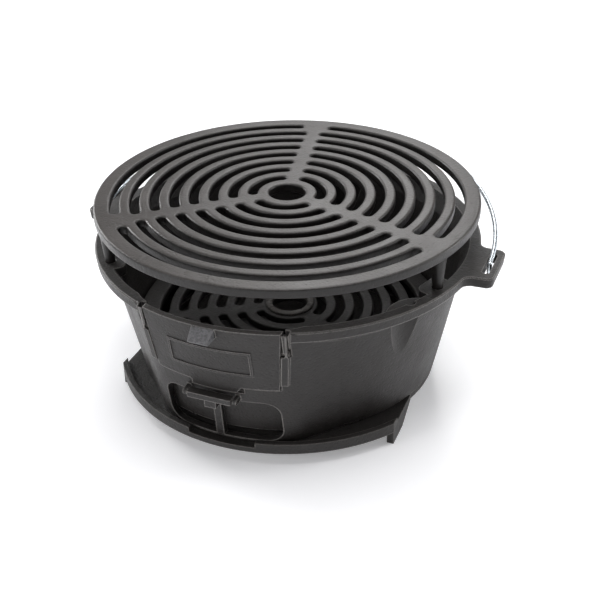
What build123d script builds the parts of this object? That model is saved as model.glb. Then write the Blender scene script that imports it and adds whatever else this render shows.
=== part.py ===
# Portable cast-iron tabletop grill, millimetres, +Z up.
# The origin is on the table, under the centre of the round fire bowl.
# The stoking door faces -Y and the two ears for the bail handle are on +X and -X.
from build123d import *
from math import acos, asin, atan, cos, degrees, radians, sin
import os

# ---- overall levels ----
over = 1.0                  # cutters pass the faces they cut by this much
near = 0.01                 # two places closer than this are the same
on_base = (Align.CENTER, Align.CENTER, Align.MIN)
foot_drop = 12.0            # table to the underside of the base plate
plate_thick = 5.0           # base plate
seat_gap = 0.3              # gap between two castings that rest on each other
bowl_height = 119.2         # fire bowl, from its lower edge to its rim
grate_stand = 28.0          # rim to the underside of the cooking grate
grate_thick = 8.5           # cooking grate

# ---- fire bowl ----
wall_foot_rad = 134.2       # outside of the conical wall at its lower edge
wall_slope = 0.20           # outward lean of the wall, radius per height
wall_thick = 5.0
rim_rad = 167.6             # outer edge of the rim band
rim_draft = 1.0             # the band is this much smaller at its lower edge
rim_band = 9.0              # height of the rim band
band_step = 2.0             # band stands this far over the flare below it
flare_drop = 9.5            # height of the flare between wall and band
rim_land = 9.6              # width of the flat rim top
rim_edge = 1.0              # rounding of the rim's and ears' upper edges
lead_in_drop = 15.5         # height of the sloping lead-in inside the rim
edge_round = 2.5            # chamfer on the outer lower edge of the wall

# ---- front housing that carries the two doors ----
front_foot_rad = 147.4      # outside radius at the lower edge
front_wall = 6.5
front_half_angle = 22.8     # half of the arc that the housing covers
front_corner_rad = 45.0     # rounding of its two vertical corners
front_round_in = 1.5        # how far its side walls run into the conical wall
front_back_share = 0.4      # how far back inside the bowl the housing block reaches
door_side = -90.0           # direction of the front, about Z

# ---- ears and bail ----
ear_length = 20.2           # ear tip outside the rim
ear_root_half = 30.0
ear_tip_half = 26.5
ear_corner = 7.0
ear_fillet = 8.0
slot_set = 11.4             # middle of the ear slot outside the rim
ear_slot_width = 6.4
ear_slot_half = 17.5
bail_wire = 4.0
bail_drop = 0.3             # bail pivot below the rim top
bail_rest_angle = 9.2       # bail plane above level, lying back
bail_hook_depth = 11.0
bail_hook_curl = 3.6

# ---- cooking grate ----
grate_inset = 2.6           # its edge inside the rim's outer edge
grate_round = 3.2
ring_first = 25.5           # inner radius of the first ring of slots
ring_pitch = 16.85
ring_slot = 7.9
ring_count = 8
spoke_width = 12.5
pad_gap = 24.0              # solid width over each leg, in the outermost ring
spoke_turn = 101.0          # direction of the first spoke
hole_rad = 15.75
hole_chamfer = 1.6
spokes = 3

# ---- grate legs and their seats ----
leg_inset = 10.6            # middle of each leg inside the rim's outer edge
leg_foot_rad = 4.0
leg_top_rad = 6.4
leg_chamfer = 1.0
socket_depth = 3.0
socket_gap = 0.6
pad_length = 22.1           # high seats, from the rim's outer edge inward
pad_half = 14.0
seat_turn = 12.0            # low seats lie this far round from the high ones
low_seat_drop = 6.5
boss_set = 15.2             # middle of each low-seat column outside the wall
boss_rad = 22.0
boss_wall = 5.0
boss_bury = 1.0             # the columns stop this far behind the wall's outside
boss_foot_z = 78.0          # the low-seat bosses die out at this height

# ---- charcoal grate ----
coal_top_z = 60.5
coal_thick = 7.5
coal_gap = 0.9              # to the wall
coal_round = 2.0
coal_rings = 6
coal_spoke_turn = 91.0
coal_hole_rad = 16.0
coal_collar_rad = 22.0
coal_collar_rise = 2.5
lug_width = 18.0
lug_reach = 11.0
lug_height = 7.0
lug_angles = (45.0, 135.0, 225.0, 315.0)

# ---- stoking door ----
door_top_half = 58.0
door_taper = 0.095          # each side narrows by this share of the drop
door_drop = 58.5            # rim top to the lower edge of the door
sill_drop = 52.0            # rim top to the sill of the door opening
door_gap = 0.8
door_thick = 5.5
door_proud = 1.0
door_lip = 3.0              # thickness of the lip that laps over the sill
tongue_left = 20.2          # the tongue under the door is off centre
tongue_right = 23.4
tongue_slant = 4.8          # its right end narrows by this much
tongue_drop = 5.5
rod_drop = 20.5             # rim top to the middle of the door rod
rod_rad = 3.0
rod_inset = 13.6            # middle of the door rod behind the outer face
rod_overhang = 4.6          # rod past each side of the door
rod_chamfer = 0.6
eye_rad = 5.8
eye_width = 10.0
eye_mid = 44.0
eye_bury = 0.5              # the eyes stop this far behind the door's face
run_fit = 0.08              # radial clearance of a pin in its eye
slot_gap = 0.5              # keyhole to rod
keyhole_neck = 6.8
keyhole_inboard = 6.0       # keyhole starts this far inside the door's edge
side_notch = 2.6            # wide part of the gap beside the door, above the rod
notch_reach = 60.0          # length of the cutter for that gap, across the wall
cut_out = 12.0              # door cutter, outside the wall
cut_in = 30.0               # door cutter, inside the wall
jamb_width = 6.5
jamb_proud = 1.8
jamb_drop = 53.0
tab_half = 10.6             # thumb tab, half of its width at the top edge
tab_slant = 5.6             # its right side narrows by this much
tab_reach = 9.0
tab_drop = 9.5
tab_thick = 3.2
tab_corner = 3.0

# ---- draft opening and draft door ----
draft_half_angle = 20.0
draft_sill = 2.0            # wall left under the opening
draft_height = 43.0
draft_corner = 13.0
draft_shift = -2.8          # bar, hinge and shelf sit left of the middle
mullion_width = 7.0
mullion_drop = 6.8          # the bar ends this far under the top of the opening
mullion_lean = 2.4          # its top stands this far behind the outer face of the wall
pin_rise = 4.3              # draft pin above the top of the opening
pin_out = 5.3               # draft pin in front of the outer face
draft_pin_rad = 1.3
pin_end = 0.8               # pin past each lug
pin_chamfer = 0.4
side_gap = 0.5
hinge_lug_width = 3.6
hinge_lug_rad = 2.6
shelf_half = 19.2           # finger shelf, which is also the hinge knuckle
shelf_front = 4.1           # in front of the pin
shelf_back = 3.7            # behind the pin
shelf_low = 2.2             # underside below the pin
shelf_high = 2.6            # top above the pin
shelf_corner = 1.6
arm_width = 10.0
arm_thick = 3.2
arm_high = 7.1              # pin to the top of the arm
flap_gap = 0.9
flap_thick = 4.0
flap_half_angle = 20.8
flap_high = 7.6             # pin to the top of the flap
flap_low_z = 25.5

# ---- base plate ----
disc_rad = 133.0
apron_rad = 155.6
apron_clip = 128.0          # half of the width to which the apron is cut
apron_back = -40.0          # rear end of the two clipped sides
lip_thick = 5.0
lip_rise = 4.5
lip_notch_half = 11.0
foot_panel = 6.0
foot_front_y = -88.5
foot_heel = 26.0            # length of each front foot on the table
rear_foot_rad = 11.0
rear_foot_set = 112.0
spigot_thick = 5.0
spigot_gap = 1.5
spigot_rise = 7.0

# ---- levels that follow ----
plate_top_z = foot_drop + plate_thick
bowl_foot_z = plate_top_z + seat_gap
rim_z = bowl_foot_z + bowl_height
band_z = rim_z - rim_band
flare_z = band_z - flare_drop
grate_low_z = rim_z + grate_stand
grate_top_z = grate_low_z + grate_thick
ear_reach = rim_rad + ear_length
slot_mid = rim_rad + slot_set
grate_rad = rim_rad - grate_inset
leg_circle = rim_rad - leg_inset
pad_reach = rim_rad - pad_length
rod_z = rim_z - rod_drop
draft_pin_z = bowl_foot_z + draft_sill + draft_height + pin_rise
front_slope = (rim_rad - rim_draft - front_foot_rad) / (band_z - bowl_foot_z)


def wall_rad(z):
    return wall_foot_rad + wall_slope * (z - bowl_foot_z)


def front_rad(z):
    return front_foot_rad + front_slope * (z - bowl_foot_z)


boss_circle = wall_rad(flare_z) + boss_set
rod_set = front_rad(rod_z) - rod_inset
draft_pin_set = front_rad(draft_pin_z) + pin_out
shelf_out = draft_pin_set + shelf_front
shelf_in = draft_pin_set - shelf_back


def polar(radius, angle):
    return (radius * cos(radians(angle)), radius * sin(radians(angle)))


def turned(points):
    """Solid of revolution about Z from (radius, height) points."""
    face = make_face(Polyline(*[(r, 0, z) for r, z in points], close=True))
    return revolve(face, Axis.Z, 360)


def housing_section(z, inset):
    """Level section of the front housing: an arc, two rounded corners and tangent side walls."""
    outer = front_rad(z) - inset
    inner = wall_rad(z) - inset
    turn = degrees(acos(inner / front_rad(z)))
    left, right = door_side - front_half_angle, door_side + front_half_angle
    corner_a, corner_b = polar(outer, left), polar(outer, right)
    tangent_a = polar(inner - front_round_in, left - turn)
    tangent_b = polar(inner - front_round_in, right + turn)
    back = inner * cos(radians(front_half_angle + turn)) * front_back_share
    plane = Plane.XY.offset(z)
    edges = [
        ThreePointArc(corner_a, polar(outer, door_side), corner_b),
        Line(corner_b, tangent_b),
        Line(tangent_b, (tangent_b[0], -back)),
        Line((tangent_b[0], -back), (tangent_a[0], -back)),
        Line((tangent_a[0], -back), tangent_a),
        Line(tangent_a, corner_a),
    ]
    face = make_face(edges)
    corners = [v for v in face.vertices() if abs(Vector(v.X, v.Y).length - outer) < near]
    face = fillet(corners, front_corner_rad)
    return plane * face


def housing(low_z, high_z, inset):
    return loft([housing_section(low_z, inset), housing_section(high_z, inset)], ruled=True)


def rim_plate():
    """Rim band and both ears as one plate, a little smaller at its lower face."""
    outline = make_face(Circle(rim_rad).edges())
    for half in (0, 180):
        ear = make_face(Polyline(
            (0, -ear_root_half), (ear_reach, -ear_tip_half), (ear_reach, ear_tip_half), (0, ear_root_half),
            close=True,
        ))
        outline += Rot(0, 0, half) * ear
    tips = [v for v in outline.vertices() if abs(v.X) > ear_reach - over]
    outline = fillet(tips, ear_corner)
    roots = [v for v in outline.vertices() if abs(Vector(v.X, v.Y).length - rim_rad) < near
             and abs(v.Y) > ear_root_half / 2]
    outline = fillet(roots, ear_fillet)
    draft = degrees(atan(rim_draft / rim_band))
    plate = extrude(Plane.XY.offset(rim_z) * outline, amount=-rim_band, taper=draft)
    return chamfer(plate.faces().sort_by(Axis.Z)[-1].edges(), rim_edge)


def ear_slot():
    face = SlotOverall(2 * ear_slot_half, ear_slot_width, rotation=90)
    return extrude(Plane.XY.offset(band_z - over) * Pos(slot_mid, 0) * face, amount=rim_band + 2 * over)


def door_panel(low_z, high_z, outer, inner, grow):
    """Slab between two cones, cut to the tapered outline of the stoking door."""
    half_high = door_top_half - door_taper * (rim_z - high_z) + grow
    half_low = door_top_half - door_taper * (rim_z - low_z) + grow
    shell = turned([(front_rad(low_z) + inner, low_z), (front_rad(low_z) + outer, low_z),
                    (front_rad(high_z) + outer, high_z), (front_rad(high_z) + inner, high_z)])
    outline = Polyline((-half_low, low_z), (half_low, low_z), (half_high, high_z), (-half_high, high_z),
                       close=True)
    block = extrude(Plane.XZ * make_face(outline), amount=2 * rim_rad)
    return shell & block


def keyhole(side):
    """Slot in the rim for one end of the door rod, leaning with the wall, round at the bottom."""
    end = door_top_half + rod_overhang + slot_gap
    start = door_top_half - door_taper * rod_drop - keyhole_inboard
    radius = rod_rad + slot_gap
    centre = (side * (start + end) / 2, -rod_set, rod_z)
    round_part = Pos(*centre) * Rot(0, 90, 0) * Cylinder(radius, end - start)
    rise = rim_z - rod_z + 2 * rod_rad
    neck = Pos(*centre) * Rot(degrees(atan(front_slope)), 0, 0) * Pos(0, 0, rise / 2) * Box(
        end - start, keyhole_neck, rise)
    return round_part + neck


def side_gap_notch(side):
    """Wide gap between door and jamb above the rod, with a round end."""
    edge = door_top_half - door_taper * rod_drop
    rise = rim_z - rod_z + over
    gap = Pos(side * (edge + side_notch / 2), -rim_rad, rod_z + rise / 2) * Box(side_notch, notch_reach, rise)
    ring = Pos(side * (edge + side_notch / 2), -rim_rad, rod_z) * Rot(90, 0, 0) * Cylinder(
        side_notch, notch_reach)
    return gap + ring


def fire_bowl():
    rim_in = rim_rad - rim_land
    lead_z = rim_z - lead_in_drop
    corner_z = bowl_foot_z + edge_round
    flare_rad = rim_rad - rim_draft - band_step
    outside = turned([
        (0, bowl_foot_z), (wall_foot_rad - edge_round, bowl_foot_z), (wall_rad(corner_z), corner_z),
        (wall_rad(flare_z), flare_z), (flare_rad, band_z), (flare_rad, rim_z - rim_edge),
        (0, rim_z - rim_edge),
    ])
    inside = turned([
        (0, bowl_foot_z - over), (wall_rad(bowl_foot_z - over) - wall_thick, bowl_foot_z - over),
        (wall_rad(lead_z) - wall_thick, lead_z), (rim_in, rim_z), (rim_in, rim_z + over),
        (0, rim_z + over),
    ])
    front_out = housing(bowl_foot_z, rim_z - rim_edge, 0)
    front_in = housing(bowl_foot_z - over, rim_z + over, front_wall)
    jambs = door_panel(rim_z - jamb_drop, rim_z - rim_edge, jamb_proud, over - front_wall, jamb_width)
    body = outside + front_out + jambs + rim_plate()
    body -= inside
    body -= front_in
    body += low_seat_bosses()
    body += high_seats()
    body += coal_lugs()
    body -= seat_pockets()
    body -= scallops()
    for half in (0, 180):
        body -= Rot(0, 0, half) * ear_slot()
    body -= door_opening()
    for side in (-1, 1):
        body -= keyhole(side)
        body -= side_gap_notch(side)
    body -= draft_opening()
    body += draft_lugs()
    return body


def inside_core(grow):
    """Everything nearer the centre than the outside of the plain wall."""
    return turned([
        (0, bowl_foot_z), (wall_rad(bowl_foot_z) + grow, bowl_foot_z), (wall_rad(flare_z) + grow, flare_z),
        (rim_rad - rim_draft - band_step + grow, band_z), (rim_rad - rim_draft, rim_z),
        (0, rim_z),
    ])


def low_seat_bosses():
    """Three half-round columns bulge inward below the rim; outside they leave hollow scallops."""
    result = []
    for k in range(spokes):
        angle = spoke_turn - seat_turn + 360 / spokes * k
        x, y = polar(boss_circle, angle)
        column = Pos(x, y, boss_foot_z) * Cylinder(
            boss_rad + boss_wall, rim_z - low_seat_drop - boss_foot_z, align=on_base)
        result.append(column & inside_core(-boss_bury))
    return result


def scallops():
    """Hollows in the outside of the wall, under the low seats."""
    result = []
    for k in range(spokes):
        angle = spoke_turn - seat_turn + 360 / spokes * k
        x, y = polar(boss_circle, angle)
        result.append(Pos(x, y, boss_foot_z) * Cylinder(
            boss_rad, flare_z - boss_foot_z, align=on_base))
    return result


def high_seats():
    """Flat pads at rim level for the three grate legs."""
    result = []
    for k in range(spokes):
        angle = spoke_turn + 360 / spokes * k
        outer = rim_rad - rim_land / 2
        slab = Pos((pad_reach + outer) / 2, 0, rim_z - rim_band / 2) * Box(
            outer - pad_reach, 2 * pad_half, rim_band)
        inner_edges = [e for e in slab.edges().filter_by(Axis.Z) if e.center().X < pad_reach + over]
        slab = fillet(inner_edges, pad_half / 2)
        result.append((Rot(0, 0, angle) * slab) & inside_core(0))
    return result


def seat_pockets():
    """Shallow round sockets: one at rim level and one in each low seat."""
    result = []
    for k in range(spokes):
        for turn, drop in ((0, 0), (-seat_turn, low_seat_drop)):
            x, y = polar(leg_circle, spoke_turn + turn + 360 / spokes * k)
            floor = rim_z - drop - socket_depth
            result.append(Pos(x, y, floor) * Cylinder(
                leg_foot_rad + socket_gap, rim_z - floor + over, align=on_base))
    return result


def coal_lugs():
    top = coal_top_z - coal_thick - seat_gap
    outer = wall_rad(top) - wall_thick / 2
    inner = wall_rad(top) - wall_thick - lug_reach
    lug = Pos((outer + inner) / 2, 0, top - lug_height / 2) * Box(outer - inner, lug_width, lug_height)
    return [Rot(0, 0, a) * lug for a in lug_angles]


def door_opening():
    sill_z = rim_z - sill_drop
    cut = door_panel(sill_z, rim_z + 2 * over, cut_out, -cut_in, door_gap)
    lip_low = rim_z - door_drop - door_gap
    rebate = door_panel(lip_low, sill_z + over, cut_out, door_proud - door_lip - side_gap, door_gap)
    tongue_low = lip_low - tongue_drop
    mid_z = (tongue_low + lip_low + over) / 2
    tongue = Pos((tongue_right - tongue_left) / 2, -front_rad(lip_low), mid_z) * Box(
        tongue_left + tongue_right + 2 * door_gap, front_foot_rad, tongue_drop + over)
    tongue &= turned([
        (front_rad(tongue_low) + door_proud - door_lip - side_gap, tongue_low),
        (rim_rad + cut_out, tongue_low), (rim_rad + cut_out, lip_low + over),
        (front_rad(lip_low + over) + door_proud - door_lip - side_gap, lip_low + over),
    ])
    return [cut, rebate, tongue]


def draft_outline():
    """Front view of the draft opening on the XZ plane, with rounded corners."""
    low = bowl_foot_z + draft_sill
    half = front_rad(low) * sin(radians(draft_half_angle))
    return Pos(0, low + draft_height / 2) * RectangleRounded(2 * half, draft_height, draft_corner)


def draft_opening():
    """Opening with one upright bar, which leans back into the wall at its top."""
    low = bowl_foot_z
    high = low + draft_sill + draft_height - mullion_drop
    cut = extrude(Plane.XZ * draft_outline(), amount=2 * rim_rad)
    bar = Pos(draft_shift, -rim_rad, (low + high) / 2) * Box(mullion_width, 2 * rim_rad, high - low)
    bar &= turned([(0, low), (front_rad(low), low), (front_rad(high) - mullion_lean, high), (0, high)])
    return cut - bar


def draft_lugs():
    """Two lugs over the draft opening, bored for the draft pin."""
    result = []
    for side in (-1, 1):
        mid = draft_shift + side * (shelf_half + side_gap + hinge_lug_width / 2)
        boss = Pos(mid, -draft_pin_set, draft_pin_z) * Rot(0, 90, 0) * Cylinder(
            hinge_lug_rad, hinge_lug_width)
        depth = draft_pin_set - front_rad(draft_pin_z) + front_wall / 2
        web = Pos(mid, depth / 2 - draft_pin_set, draft_pin_z) * Box(
            hinge_lug_width, depth, 2 * hinge_lug_rad)
        bore = Pos(mid, -draft_pin_set, draft_pin_z) * Rot(0, 90, 0) * Cylinder(
            draft_pin_rad, 2 * hinge_lug_width)
        result.append(boss + web - bore)
    return result


def stoking_door():
    sill_z = rim_z - sill_drop
    low_z = rim_z - door_drop
    panel = door_panel(sill_z + door_gap, rim_z, door_proud, door_proud - door_thick, 0)
    lip = door_panel(low_z, sill_z + door_gap + over, door_proud, door_proud - door_lip, 0)
    tongue_z = low_z - tongue_drop
    shell = turned([
        (front_rad(tongue_z) + door_proud - door_lip, tongue_z), (front_rad(tongue_z) + door_proud, tongue_z),
        (front_rad(low_z + over) + door_proud, low_z + over),
        (front_rad(low_z + over) + door_proud - door_lip, low_z + over),
    ])
    outline = Polyline((-tongue_left, tongue_z), (tongue_right - tongue_slant, tongue_z),
                       (tongue_right, low_z + over), (-tongue_left, low_z + over), close=True)
    tongue = shell & extrude(Plane.XZ * make_face(outline), amount=2 * rim_rad)
    door = panel + lip + tongue
    for side in (-1, 1):
        door += door_eye(side)
    door += thumb_tab()
    bore = Pos(0, -rod_set, rod_z) * Rot(0, 90, 0) * Cylinder(rod_rad + run_fit, 3 * door_top_half)
    return door - bore


def door_eye(side):
    barrel = Pos(side * eye_mid, -rod_set, rod_z) * Rot(0, 90, 0) * Cylinder(eye_rad, eye_width)
    reach = front_rad(rod_z) - rod_set
    web = Pos(side * eye_mid, -rod_set - reach / 2, rod_z) * Box(eye_width, reach, 2 * eye_rad)
    low, high = rod_z - 2 * eye_rad, rod_z + 2 * eye_rad
    face = door_proud - eye_bury
    core = turned([(0, low), (front_rad(low) + face, low), (front_rad(high) + face, high), (0, high)])
    return (barrel + web) & core


def thumb_tab():
    """Lip at the middle of the top edge that slopes outward and down."""
    top = front_rad(rim_z) + door_proud
    tip, tip_z = top + tab_reach, rim_z - tab_drop
    ring = turned([
        (top - door_thick, rim_z), (top, rim_z), (tip, tip_z), (tip - tab_thick / 2, tip_z - tab_thick / 2),
        (top - door_thick, rim_z - 2 * tab_thick),
    ])
    root_y, tip_y = door_thick + door_gap - top, -tip - over
    outline = Polyline((-tab_half, root_y), (-tab_half, tip_y), (tab_half - tab_slant, tip_y),
                       (tab_half, root_y), close=True)
    face = fillet(make_face(outline).vertices().sort_by(Axis.Y)[:2], tab_corner)
    return ring & extrude(Plane.XY.offset(rim_z - rim_band * 2) * face, amount=2 * rim_band + over)


def door_rod():
    length = 2 * (door_top_half + rod_overhang)
    rod = Pos(0, -rod_set, rod_z) * Rot(0, 90, 0) * Cylinder(rod_rad, length)
    return chamfer(rod.edges(), rod_chamfer)


def draft_door():
    """Flap inside the opening, hung by one bent arm from the finger shelf."""
    pin_y, pin_z = -draft_pin_set, draft_pin_z
    shelf = Pos(draft_shift, -(shelf_out + shelf_in) / 2, pin_z + (shelf_high - shelf_low) / 2) * Box(
        2 * shelf_half, shelf_out - shelf_in, shelf_high + shelf_low)
    shelf = fillet(shelf.edges().filter_by(Axis.Z), shelf_corner)
    arm_low = pin_z - arm_high - arm_thick
    drop = Pos(draft_shift, pin_y, (pin_z - shelf_low + arm_low) / 2) * Box(
        arm_width, arm_thick, pin_z - shelf_low - arm_low)
    run = draft_pin_set - front_rad(arm_low) + front_wall + flap_gap + flap_thick / 2
    arm = Pos(draft_shift, pin_y + (run - arm_thick / 2) / 2, arm_low + arm_thick / 2) * Box(
        arm_width, run + arm_thick / 2, arm_thick)
    body = shelf + drop + arm + draft_flap()
    bore = Pos(0, pin_y, pin_z) * Rot(0, 90, 0) * Cylinder(draft_pin_rad + run_fit, 3 * shelf_half)
    return body - bore


def draft_flap():
    high_z = draft_pin_z - flap_high
    low_z = flap_low_z
    out = -front_wall - flap_gap
    shell = turned([
        (front_rad(low_z) + out - flap_thick, low_z), (front_rad(low_z) + out, low_z),
        (front_rad(high_z) + out, high_z), (front_rad(high_z) + out - flap_thick, high_z),
    ])
    half = (front_rad(low_z) + out) * sin(radians(flap_half_angle))
    wedge = Pos(0, -rim_rad, (low_z + high_z) / 2) * Box(2 * half, 2 * rim_rad, high_z - low_z + 2 * over)
    return shell & wedge


def draft_pin():
    length = 2 * (shelf_half + side_gap + hinge_lug_width + pin_end)
    pin = Pos(draft_shift, -draft_pin_set, draft_pin_z) * Rot(0, 90, 0) * Cylinder(draft_pin_rad, length)
    return chamfer(pin.edges(), pin_chamfer)


def slot_rings(count, turn, outer_gap, thick, low_z):
    """Concentric slots with round ends, broken by the spokes."""
    cuts = []
    for k in range(count):
        mid = ring_first + ring_pitch * k + ring_slot / 2
        gap = outer_gap if k == count - 1 else spoke_width
        margin = degrees(asin((gap / 2 + ring_slot / 2) / mid))
        for s in range(spokes):
            start = turn + 360 / spokes * s + margin
            sweep = 360 / spokes - 2 * margin
            slot = SlotArc(CenterArc((0, 0), mid, start, sweep), ring_slot)
            cuts.append(extrude(Plane.XY.offset(low_z - over) * slot, amount=thick + 2 * over))
    return cuts


def cooking_grate():
    disc = Pos(0, 0, grate_low_z) * Cylinder(grate_rad, grate_thick, align=on_base)
    disc = fillet(disc.edges(), grate_round)
    hole = Pos(0, 0, grate_low_z - over) * Cylinder(
        hole_rad, grate_thick + 2 * over, align=on_base)
    mouth = turned([(0, grate_top_z - hole_chamfer), (hole_rad, grate_top_z - hole_chamfer),
                    (hole_rad + 2 * hole_chamfer, grate_top_z + hole_chamfer),
                    (0, grate_top_z + hole_chamfer)])
    return disc - slot_rings(ring_count, spoke_turn, pad_gap, grate_thick, grate_low_z) - hole - mouth


def grate_legs():
    """Three tapered pegs under the ends of the spokes."""
    foot_z = rim_z - socket_depth + seat_gap
    pegs = []
    for k in range(spokes):
        x, y = polar(leg_circle, spoke_turn + 360 / spokes * k)
        peg = Pos(x, y, 0) * turned([
            (0, foot_z), (leg_foot_rad - leg_chamfer, foot_z), (leg_foot_rad, foot_z + leg_chamfer),
            (leg_top_rad, grate_low_z), (0, grate_low_z),
        ])
        pegs.append(peg)
    return Compound(children=pegs)


def charcoal_grate():
    low_z = coal_top_z - coal_thick
    radius = wall_rad(low_z) - wall_thick - coal_gap
    disc = Pos(0, 0, low_z) * Cylinder(radius, coal_thick, align=on_base)
    disc = fillet(disc.edges(), coal_round)
    collar = Pos(0, 0, low_z) * Cylinder(
        coal_collar_rad, coal_thick + coal_collar_rise, align=on_base)
    hole = Pos(0, 0, low_z - over) * Cylinder(
        coal_hole_rad, coal_thick + coal_collar_rise + 2 * over, align=on_base)
    return disc + collar - slot_rings(coal_rings, coal_spoke_turn, spoke_width, coal_thick, low_z) - hole


def apron_outline(radius):
    """Round in front, cut to straight sides, and no further back than the rear ends of those sides."""
    disc = Circle(radius)
    front = Pos(0, -radius) * Rectangle(2 * apron_clip, 2 * (radius + apron_back))
    return disc & front


def base_plate():
    plate = extrude(Plane.XY.offset(foot_drop) * (Circle(disc_rad) + apron_outline(apron_rad)),
                    amount=plate_thick)
    band = extrude(Plane.XY.offset(foot_drop) * (apron_outline(apron_rad) - Circle(apron_rad - lip_thick)),
                   amount=plate_thick + lip_rise)
    sides = []
    for side in (-1, 1):
        outline = Polyline(
            (foot_front_y, 0), (foot_front_y + foot_heel, 0), (apron_back, foot_drop),
            (apron_back, plate_top_z), (foot_front_y, plate_top_z), close=True,
        )
        start = side * (apron_clip - foot_panel / 2) - foot_panel / 2
        sides.append(extrude(Plane.YZ.offset(start) * make_face(outline), amount=foot_panel))
    spigot_out = wall_rad(bowl_foot_z) - wall_thick - spigot_gap
    spigot = Pos(0, 0, foot_drop) * Cylinder(
        spigot_out, plate_thick + spigot_rise, align=on_base)
    spigot -= Pos(0, 0, foot_drop) * Cylinder(
        spigot_out - spigot_thick, plate_thick + spigot_rise, align=on_base)
    rear = Pos(0, rear_foot_set, 0) * Cylinder(
        rear_foot_rad, foot_drop + over, align=on_base)
    notch = Pos(0, -apron_rad, plate_top_z + lip_rise) * Box(
        2 * apron_rad * sin(radians(lip_notch_half)), 4 * lip_thick, 2 * lip_rise)
    return plate + band + sides + spigot + rear - notch


def bail_handle():
    axis_z = rim_z - bail_drop
    plane = Plane(origin=(0, 0, axis_z), x_dir=(1, 0, 0),
                  z_dir=(0, -sin(radians(bail_rest_angle)), cos(radians(bail_rest_angle))))
    arc = plane * CenterArc((0, 0), slot_mid, 0, 180)
    wires = [sweep(Plane(origin=arc @ 0, z_dir=arc % 0) * Circle(bail_wire / 2), path=arc)]
    for side in (-1, 1):
        wires.append(bail_hook(side, axis_z))
    handle = wires[0]
    for wire in wires[1:]:
        handle += wire
    return handle


def bail_hook(side, axis_z):
    """Wire end that drops through the ear slot and curls back under the ear."""
    x = side * slot_mid
    low = axis_z - bail_hook_depth
    leg = Line((x, 0, axis_z), (x, 0, low))
    curl = ThreePointArc((x, 0, low), (x, bail_hook_curl, low - bail_hook_curl), (x, 2 * bail_hook_curl, low))
    path = leg + curl
    hook = sweep(Plane(origin=(x, 0, axis_z), z_dir=(0, 0, -1)) * Circle(bail_wire / 2), path=path)
    return hook + Pos(x, 0, axis_z) * Sphere(bail_wire / 2)


def write(name, shape):
    shape.label = name
    export_step(shape, "parts/" + name + ".step")


def main():
    os.makedirs("parts", exist_ok=True)
    write("fire_bowl", fire_bowl())
    write("base_plate", base_plate())
    write("charcoal_grate", charcoal_grate())
    write("cooking_grate", cooking_grate())
    write("grate_legs", grate_legs())
    write("stoking_door", stoking_door())
    write("door_rod", door_rod())
    write("draft_door", draft_door())
    write("draft_pin", draft_pin())
    write("bail_handle", bail_handle())


main()
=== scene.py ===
import bpy
import bmesh
from math import cos, pi, radians, sin, sqrt
from mathutils import Matrix, Vector


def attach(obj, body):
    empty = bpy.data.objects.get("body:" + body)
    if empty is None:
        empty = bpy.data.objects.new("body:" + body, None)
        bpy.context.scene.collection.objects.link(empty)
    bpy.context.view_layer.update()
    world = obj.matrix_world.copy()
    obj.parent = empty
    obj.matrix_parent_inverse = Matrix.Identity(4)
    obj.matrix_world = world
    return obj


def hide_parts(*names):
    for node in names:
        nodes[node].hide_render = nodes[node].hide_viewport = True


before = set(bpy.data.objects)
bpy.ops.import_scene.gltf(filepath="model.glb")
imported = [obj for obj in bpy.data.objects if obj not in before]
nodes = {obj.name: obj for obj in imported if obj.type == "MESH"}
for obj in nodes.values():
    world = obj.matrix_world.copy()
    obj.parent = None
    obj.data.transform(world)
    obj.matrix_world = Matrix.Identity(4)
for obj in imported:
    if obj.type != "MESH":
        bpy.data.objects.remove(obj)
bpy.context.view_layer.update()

scene = bpy.context.scene
print("frame loaded, nodes:", len(nodes))


# ---------- camera ----------
camera = {
    "place": (0.3194, -0.7656, 0.5685),
    "look": (-0.32004, 0.79212, -0.51976),
    "roll": 1.0175,       # degrees
    "lens": 63.893,       # on a 36 mm sensor
}


def addCamera(spec):
    data = bpy.data.cameras.new("mainCamera")
    data.lens = spec["lens"]
    data.sensor_width = 36
    data.clip_start = 0.01
    shot = bpy.data.objects.new("mainCamera", data)
    scene.collection.objects.link(shot)
    forward = Vector(spec["look"]).normalized()
    level = forward.cross(Vector((0, 0, 1))).normalized()
    down = forward.cross(level)
    turn = radians(spec["roll"])
    right = level * cos(turn) + down * sin(turn)
    below = down * cos(turn) - level * sin(turn)
    axes = Matrix((right, -below, -forward)).transposed().to_4x4()
    shot.matrix_world = Matrix.Translation(spec["place"]) @ axes
    scene.camera = shot


addCamera(camera)
print("camera set")


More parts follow.
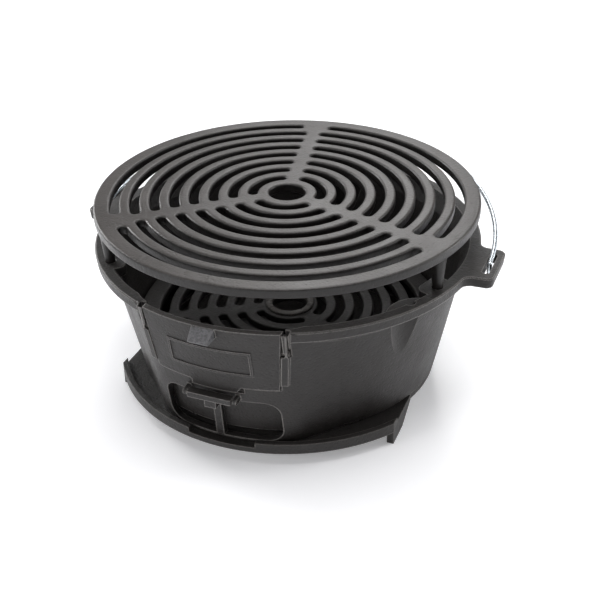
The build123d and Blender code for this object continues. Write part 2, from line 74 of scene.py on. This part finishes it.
# ---------- shader helper ----------
class Wire:
    # one output of a shader tree; sums and products on it add Math nodes
    def __init__(self, tree, socket=None):
        self.tree = tree
        self.socket = socket

    def node(self, kind, settings=None, values=None, out=0):
        made = self.tree.nodes.new("ShaderNode" + kind)
        settings = dict(settings or {})
        stops = settings.pop("stops", None)
        for name, value in settings.items():
            setattr(made, name, value)
        if stops:
            ramp = made.color_ramp
            ramp.elements[0].position, ramp.elements[0].color = stops[0]
            ramp.elements[1].position, ramp.elements[1].color = stops[-1]
            for place, colour in stops[1:-1]:
                ramp.elements.new(place).color = colour
        for key, value in (values or {}).items():
            if isinstance(value, Wire):
                self.tree.links.new(value.socket, made.inputs[key])
            else:
                made.inputs[key].default_value = value
        return Wire(self.tree, made.outputs[out])

    def maths(self, operation, *values):
        return self.node("Math", {"operation": operation}, dict(enumerate(values)))

    def __add__(self, other):
        return self.maths("ADD", self, other)

    def __sub__(self, other):
        return self.maths("SUBTRACT", self, other)

    def __rsub__(self, other):
        return self.maths("SUBTRACT", other, self)

    def __mul__(self, other):
        return self.maths("MULTIPLY", self, other)

    __radd__ = __add__
    __rmul__ = __mul__

    def band(self, low, high):
        # 0 at low, 1 at high, held to that range
        return self.node("MapRange", {"clamp": True}, {0: self, 1: low, 2: high, 3: 0.0, 4: 1.0})

    def tint(self, dark, light):
        # a colour between two others, by this value
        return self.blend((*dark, 1), (*light, 1))

    def blend(self, first, second):
        return self.node("Mix", {"data_type": "RGBA"}, {0: self, 6: first, 7: second}, out=2)


def newFinish(name):
    finish = bpy.data.materials.new(name)
    finish.use_nodes = True
    tree = finish.node_tree
    shader = tree.nodes["Principled BSDF"]
    return finish, Wire(tree), shader


def plug(wire, shader, name):
    wire.tree.links.new(wire.socket, shader.inputs[name])


# ---------- finishes ----------
ironLook = {
    # upright faces take a darker colour and faces that point up a lighter one, painted shade on the sides and
    # painted light on the tops (on the base plate the two are nearly alike); each runs from dark to light
    # patches
    # the edge colour of each finish is a painted highlight for its rounded edges
    "bowl": {"shadedSide": ((0.0085, 0.0072, 0.0066), (0.0240, 0.0208, 0.0192)),
             "litTop": ((0.0200, 0.0180, 0.0170), (0.0440, 0.0400, 0.0375)), "rough": (0.36, 0.50),
             "grain": 0.60, "edgeHighlight": (0.260, 0.245, 0.232), "edge": 0.0018},
    "grate": {"shadedSide": ((0.0070, 0.0060, 0.0055), (0.0150, 0.0130, 0.0120)),
              "litTop": ((0.0260, 0.0225, 0.0205), (0.0640, 0.0570, 0.0530)), "rough": (0.27, 0.38),
              "grain": 0.34, "edgeHighlight": (0.360, 0.338, 0.320), "edge": 0.0014},
    "base": {"shadedSide": ((0.0120, 0.0105, 0.0098), (0.0300, 0.0270, 0.0250)),
             "litTop": ((0.0120, 0.0105, 0.0098), (0.0280, 0.0250, 0.0230)), "rough": (0.40, 0.55),
             "grain": 0.60, "edgeHighlight": (0.140, 0.128, 0.118), "edge": 0.0016},
    "coal": {"shadedSide": ((0.0080, 0.0070, 0.0065), (0.0180, 0.0160, 0.0150)),
             "litTop": ((0.0150, 0.0135, 0.0128), (0.0400, 0.0370, 0.0350)), "rough": (0.42, 0.58),
             "grain": 0.50, "edgeHighlight": (0.120, 0.110, 0.100), "edge": 0.0014},
    "door": {"shadedSide": ((0.0095, 0.0082, 0.0076), (0.0270, 0.0238, 0.0222)),
             "litTop": ((0.0260, 0.0235, 0.0220), (0.0560, 0.0510, 0.0480)), "rough": (0.38, 0.52),
             "grain": 0.70, "edgeHighlight": (0.300, 0.284, 0.272), "edge": 0.0014, "tab": True},
}
casting = {"cloud": 26.0, "patch": 7.0, "sand": 480.0, "pits": 300.0, "ripple": 90.0,      # marks per metre
           "depth": 0.0012, "shine": 0.45}
thumbTab = {"half width": 0.0115, "front": -0.1690, "low": 0.1250, "pale": (0.165, 0.165, 0.175)}


def castIron(name, look):
    finish, tree, shader = newFinish(name)
    place = tree.node("TexCoord", out=3)
    cloud = tree.node("TexNoise", None, {
        "Vector": place, "Scale": casting["cloud"], "Detail": 4.0, "Roughness": 0.6})
    patch = tree.node("TexNoise", None, {"Vector": place, "Scale": casting["patch"], "Detail": 2.0})
    sand = tree.node("TexNoise", None, {
        "Vector": place, "Scale": casting["sand"], "Detail": 3.0, "Roughness": 0.7})
    pits = tree.node("TexVoronoi", {"feature": "F1"}, {"Vector": place, "Scale": casting["pits"]})
    ripple = tree.node("TexNoise", None, {"Vector": place, "Scale": casting["ripple"], "Detail": 3.0})
    soft = tree.node("Bevel", {"samples": 6}, {"Radius": look["edge"]})
    flat = tree.node("NewGeometry", out=1)
    match = tree.node("VectorMath", {"operation": "DOT_PRODUCT"}, {0: soft, 1: flat}, out=1)
    # painted highlight: where the bevelled normal turns away from the flat one lies a rounded edge, painted
    # pale in patches of the sand noise
    edgeHighlight = (1 - match).band(0.01, 0.09) * sand.band(0.15, 0.50)
    facing = tree.node("SeparateXYZ", None, {0: tree.node("TexCoord", out=1)}, out=2)
    topLightMask = facing.band(0.35, 0.95)
    mottle = cloud.band(0.30, 0.72) * 0.35 + patch.band(0.35, 0.65) * 0.20 + sand.band(0.36, 0.64) * 0.45
    shade = mottle * (0.55 + pits.band(0.10, 0.38) * 0.45)
    # painted light and shade: faces that point up take the lighter top colour, upright faces the darker side
    # colour
    colour = topLightMask.blend(shade.tint(*look["shadedSide"]), shade.tint(*look["litTop"]))
    # lay the painted edge highlight over the colour
    colour = (edgeHighlight * 0.9).blend(colour, (*look["edgeHighlight"], 1))
    rough = cloud.band(0.3, 0.7) * (look["rough"][1] - look["rough"][0]) + look["rough"][0]
    rough = rough + sand.band(0.3, 0.7) * 0.10 - edgeHighlight * 0.08
    if look.get("tab"):      # the thumb tab is paler and a little rougher
        across, depth, level = (tree.node("SeparateXYZ", None, {0: place}, out=axis) for axis in range(3))
        tab = (thumbTab["half width"] - tree.maths("ABSOLUTE", across)).band(0.0, 0.0008)
        tab = tab * (thumbTab["front"] - depth).band(0.0, 0.0012) * (level - thumbTab["low"]).band(0.0, 0.001)
        colour = (tab * (0.35 + sand.band(0.35, 0.6) * 0.5)).blend(colour, (*thumbTab["pale"], 1))
        rough = rough + tab * 0.12
    plug(colour, shader, "Base Color")
    plug(rough, shader, "Roughness")
    height = sand * 0.5 + pits.band(0.0, 0.4) * 0.35 + ripple * 0.9
    relief = tree.node("Bump", None, {
        "Strength": look["grain"], "Distance": casting["depth"], "Height": height, "Normal": soft})
    plug(relief, shader, "Normal")
    shader.inputs["Specular IOR Level"].default_value = casting["shine"]
    return finish


def zincWire(name):
    finish, tree, shader = newFinish(name)
    place = tree.node("TexCoord", out=3)
    streak = tree.node("TexNoise", None, {"Vector": place, "Scale": 160.0, "Detail": 3.0})
    haze = tree.node("TexNoise", None, {"Vector": place, "Scale": 30.0, "Detail": 2.0})
    plug(haze.band(0.3, 0.7).tint((0.70, 0.77, 0.82), (0.90, 0.95, 0.98)), shader, "Base Color")
    plug(streak.band(0.3, 0.7) * 0.16 + 0.20, shader, "Roughness")
    relief = tree.node("Bump", None, {"Strength": 0.25, "Distance": 0.0002, "Height": streak})
    plug(relief, shader, "Normal")
    shader.inputs["Metallic"].default_value = 1.0
    return finish


def darkSteel(name):
    finish, tree, shader = newFinish(name)
    place = tree.node("TexCoord", out=3)
    streak = tree.node("TexNoise", None, {"Vector": place, "Scale": 300.0, "Detail": 3.0})
    scale = tree.node("TexNoise", None, {"Vector": place, "Scale": 70.0, "Detail": 3.0})
    plug(scale.band(0.35, 0.65).tint((0.030, 0.027, 0.025), (0.10, 0.092, 0.086)), shader, "Base Color")
    plug(streak.band(0.3, 0.7) * 0.2 + 0.36, shader, "Roughness")
    relief = tree.node("Bump", None, {"Strength": 0.3, "Distance": 0.0002, "Height": streak})
    plug(relief, shader, "Normal")
    shader.inputs["Metallic"].default_value = 0.6
    return finish


finishes = {name: castIron(name + "Iron", look) for name, look in ironLook.items()}
finishes["wire"] = zincWire("zincWire")
finishes["steel"] = darkSteel("darkSteel")

wornBy = {
    "fire_bowl": "bowl", "base_plate": "base", "cooking_grate": "grate", "grate_legs": "grate",
    "charcoal_grate": "grate", "stoking_door": "door", "draft_door": "door", "door_rod": "steel",
    "draft_pin": "steel", "bail_handle": "wire",
}
for name, key in wornBy.items():
    slots = nodes[name].data.materials
    slots.clear()
    slots.append(finishes[key])
print("finishes made")


# ---------- grates with rounded bars ----------
cookingGrate = {
    "node": "cooking_grate", "body": "cooking_rack", "slot": "grate_iron", "finish": "grate",
    "low": 0.1645, "high": 0.173, "radius": 0.165, "hole": 0.01575, "round": 0.0019,
    "first": 0.0255, "pitch": 0.01685, "slot width": 0.0079, "rings": 8, "spoke": 0.0125,
    "last spoke": 0.024, "turn": 101.0,
}
charcoalGrate = {
    "node": "charcoal_grate", "body": "charcoal_rack", "slot": "grate_iron", "finish": "coal",
    "low": 0.053, "high": 0.0605, "radius": 0.13544, "hole": 0.016, "round": 0.0015,
    "first": 0.0255, "pitch": 0.01685, "slot width": 0.0079, "rings": 6, "spoke": 0.0125,
    "last spoke": 0.0125, "turn": 91.0,
}


def around(radius, start, sweep, steps):
    angles = [radians(start + sweep * k / steps) for k in range(steps + 1)]
    return [(radius * cos(angle), radius * sin(angle)) for angle in angles]


def slotOutline(middle, width, start, sweep):
    # closed outline of one curved slot with round ends, run clockwise as a hole is
    half = width / 2
    points = around(middle + half, start, sweep, max(6, int(sweep / 3)))
    for angle, inward in ((start + sweep, 1), (start, -1)):
        centre = Vector((middle * cos(radians(angle)), middle * sin(radians(angle))))
        for k in range(1, 8):
            swing = radians(angle) + (pi * k / 8 if inward > 0 else pi + pi * k / 8)
            points.append(tuple(centre + Vector((cos(swing), sin(swing))) * half))
        if inward > 0:
            points += around(middle - half, start + sweep, -sweep, max(6, int(sweep / 3)))
    return points[::-1]


def addOutline(curve, points):
    spline = curve.splines.new("POLY")
    spline.points.add(len(points) - 1)
    for point, (x, y) in zip(spline.points, points):
        point.co = (x, y, 0, 1)
    spline.use_cyclic_u = True


def finishPiece(name, mesh, spec, bend=40):
    # put a mesh in the scene with its finish and body
    piece = bpy.data.objects.new(name, mesh)
    scene.collection.objects.link(piece)
    mesh.materials.clear()
    mesh.materials.append(finishes[spec["finish"]])
    mesh.shade_smooth()
    mesh.set_sharp_from_angle(angle=radians(bend))
    even = piece.modifiers.new("even", "WEIGHTED_NORMAL")
    even.keep_sharp = True
    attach(piece, spec["body"])
    return piece


def ringGrate(name, spec):
    thick = spec["high"] - spec["low"]
    curve = bpy.data.curves.new(name, "CURVE")
    curve.dimensions = "2D"
    curve.fill_mode = "BOTH"
    curve.extrude = thick / 2 - spec["round"]
    curve.bevel_depth = spec["round"]
    curve.bevel_resolution = 3
    curve.offset = -spec["round"]
    addOutline(curve, around(spec["radius"], 0, 360, 180)[:-1])
    addOutline(curve, around(spec["hole"], 0, -360, 60)[:-1])
    for k in range(spec["rings"]):
        middle = spec["first"] + spec["pitch"] * k + spec["slot width"] / 2
        gap = spec["last spoke"] if k == spec["rings"] - 1 else spec["spoke"]
        margin = (gap / 2 + spec["slot width"] / 2) / middle * 180 / pi
        for s in range(3):
            addOutline(curve, slotOutline(middle, spec["slot width"], spec["turn"] + 120 * s + margin,
                                          120 - 2 * margin))
    flat = bpy.data.objects.new(name + "Outline", curve)
    mesh = bpy.data.meshes.new_from_object(flat)
    bpy.data.objects.remove(flat)
    shape = bmesh.new()
    shape.from_mesh(mesh)
    bmesh.ops.remove_doubles(shape, verts=shape.verts, dist=0.00001)
    bmesh.ops.translate(shape, verts=shape.verts, vec=(0, 0, (spec["high"] + spec["low"]) / 2))
    bmesh.ops.recalc_face_normals(shape, faces=shape.faces)
    shape.to_mesh(mesh)
    shape.free()
    mesh.name = name
    return finishPiece(name, mesh, spec)


cookingTop = ringGrate("cookingTop", cookingGrate)
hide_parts("cooking_grate")
charcoalTop = ringGrate("charcoalTop", charcoalGrate)
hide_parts("charcoal_grate")


# raised collar round the middle hole of the charcoal grate
collar = {"body": "charcoal_rack", "slot": "grate_iron", "finish": "coal",
          "inner": 0.016, "outer": 0.022, "low": 0.0595, "high": 0.063, "round": 0.001}


def spunRing(name, spec):
    shape = bmesh.new()
    corners = [shape.verts.new((r, 0, z)) for r, z in (
        (spec["inner"], spec["low"]), (spec["outer"], spec["low"]),
        (spec["outer"], spec["high"]), (spec["inner"], spec["high"]))]
    shape.faces.new(corners)
    bmesh.ops.bevel(shape, geom=corners[2:], offset=spec["round"], segments=3, profile=0.5,
                    affect="VERTICES", material=-1)
    bmesh.ops.spin(shape, geom=shape.verts[:] + shape.edges[:] + shape.faces[:], cent=(0, 0, 0),
                   axis=(0, 0, 1), angle=2 * pi, steps=96, use_merge=True)
    inside = [face for face in shape.faces
              if abs(face.normal.y) > 0.99 and abs(face.calc_center_median().y) < 1e-6]
    bmesh.ops.delete(shape, geom=inside, context="FACES_ONLY")
    bmesh.ops.remove_doubles(shape, verts=shape.verts, dist=0.000001)
    bmesh.ops.recalc_face_normals(shape, faces=shape.faces)
    mesh = bpy.data.meshes.new(name)
    shape.to_mesh(mesh)
    shape.free()
    return finishPiece(name, mesh, spec)


spunRing("charcoalCollar", collar)
print("grates made")


# ---------- plain raised frame on the stoking door ----------
doorFrame = {"body": "door", "slot": "door_iron", "finish": "door",
             "left": -0.0370, "right": 0.0345, "low": 0.0915, "high": 0.1165, "bar": 0.0024,
             "proud": 0.0009, "buried": 0.0006, "round": 0.0004,
             "face": 0.1484, "lean": 0.17423, "foot": 0.0173}      # radius of the door's face, and its lean


def raisedFrame(name, spec):
    width, height = spec["right"] - spec["left"], spec["high"] - spec["low"]
    shape = bmesh.new()
    bmesh.ops.create_grid(shape, x_segments=28, y_segments=8, size=0.5)
    bmesh.ops.scale(shape, verts=shape.verts, vec=(width, height, 1))
    bmesh.ops.rotate(shape, verts=shape.verts, cent=(0, 0, 0), matrix=Matrix.Rotation(radians(90), 3, "X"))
    bmesh.ops.translate(shape, verts=shape.verts, vec=(
        (spec["left"] + spec["right"]) / 2, spec["buried"], (spec["low"] + spec["high"]) / 2))
    inset = bmesh.ops.inset_region(shape, faces=shape.faces[:], thickness=spec["bar"], use_boundary=True,
                                   use_even_offset=True)
    bars = inset["faces"]
    bmesh.ops.delete(shape, geom=[face for face in shape.faces if face not in bars], context="FACES")
    raised = bmesh.ops.extrude_face_region(shape, geom=shape.faces[:])["geom"]
    bmesh.ops.translate(shape, verts=[part for part in raised if isinstance(part, bmesh.types.BMVert)],
                        vec=(0, -spec["proud"] - spec["buried"], 0))
    bmesh.ops.recalc_face_normals(shape, faces=shape.faces)
    rims = [edge for edge in shape.edges if len(edge.link_faces) == 2 and edge.calc_face_angle() > 1.0
            and max(vert.co.y for vert in edge.verts) < 0]
    bmesh.ops.bevel(shape, geom=rims, offset=spec["round"], segments=2, profile=0.5, affect="EDGES",
                    material=-1)
    for vert in shape.verts:       # wrap the flat frame round the door's cone
        face = spec["face"] + spec["lean"] * (vert.co.z - spec["foot"])
        vert.co.y -= sqrt(face * face - vert.co.x * vert.co.x)
    mesh = bpy.data.meshes.new(name)
    shape.to_mesh(mesh)
    shape.free()
    return finishPiece(name, mesh, spec)


raisedFrame("doorFrame", doorFrame)
print("door frame made")


# ---------- floor and light ----------
studio = {
    "sky": (0.20, 0.20, 0.205), "horizon": (0.88, 0.88, 0.89),
    # the floor paper glows; near the grill its glow is dimmed to a fraction, painted shade round the grill,
    # and far off it is near full
    "floor": (0.93, 0.93, 0.945), "floorGlow": 1.0, "floorShadeNear": 0.28, "floorFar": 0.95, "floorSize": 60.0,
    "lights": [
        # name, place, size, watts
        ("overhead", (0.10, 0.10, 2.0), 1.3, 27.0),
        ("leftBox", (-1.5, 0.5, 0.7), 0.6, 14.0),
        ("rightBox", (1.5, 0.9, 0.7), 0.6, 10.0),
        ("frontBox", (-1.1, -1.5, 0.9), 0.5, 7.0),
        ("backBox", (-0.45, 1.6, 1.35), 0.8, 10.0),
    ],
}


def addStudio(spec):
    world = bpy.data.worlds.new("studio")
    world.use_nodes = True
    sky = world.node_tree.nodes["Background"]
    tree = Wire(world.node_tree)
    across = tree.node("TexCoord", out=0)
    height = tree.node("SeparateXYZ", None, {0: across}, out=2)
    plug(height.band(0.05, 0.26).tint(spec["horizon"], spec["sky"]), sky, "Color")
    scene.world = world
    shape = bmesh.new()
    bmesh.ops.create_grid(shape, x_segments=1, y_segments=1, size=spec["floorSize"] / 2)
    mesh = bpy.data.meshes.new("floor")
    shape.to_mesh(mesh)
    shape.free()
    floor = bpy.data.objects.new("floor", mesh)
    scene.collection.objects.link(floor)
    finish, tree, shader = newFinish("floorPaper")
    shader.inputs["Base Color"].default_value = (*spec["floor"], 1)
    shader.inputs["Roughness"].default_value = 0.30
    place = tree.node("TexCoord", out=3)      # the paper's glow is dimmed near the grill as painted shade and brightens away from it
    distance = tree.node("VectorMath", {"operation": "LENGTH"}, {0: place}, out=1)
    near = tuple(channel * spec["floorShadeNear"] for channel in spec["floor"])
    far = tuple(channel * spec["floorFar"] for channel in spec["floor"])
    plug(distance.band(0.6, 2.4).tint(near, far), shader, "Emission Color")
    shader.inputs["Emission Strength"].default_value = spec["floorGlow"]
    mesh.materials.append(finish)
    for name, place, size, watts in spec["lights"]:
        data = bpy.data.lights.new(name, "AREA")
        data.shape = "SQUARE"
        data.size = size
        data.energy = watts
        lamp = bpy.data.objects.new(name, data)
        scene.collection.objects.link(lamp)
        aim = (Vector((0, 0, 0.1)) - Vector(place)).to_track_quat("-Z", "Y")
        lamp.matrix_world = Matrix.Translation(place) @ aim.to_matrix().to_4x4()
    scene.view_settings.view_transform = "Standard"


addStudio(studio)
print("studio set")
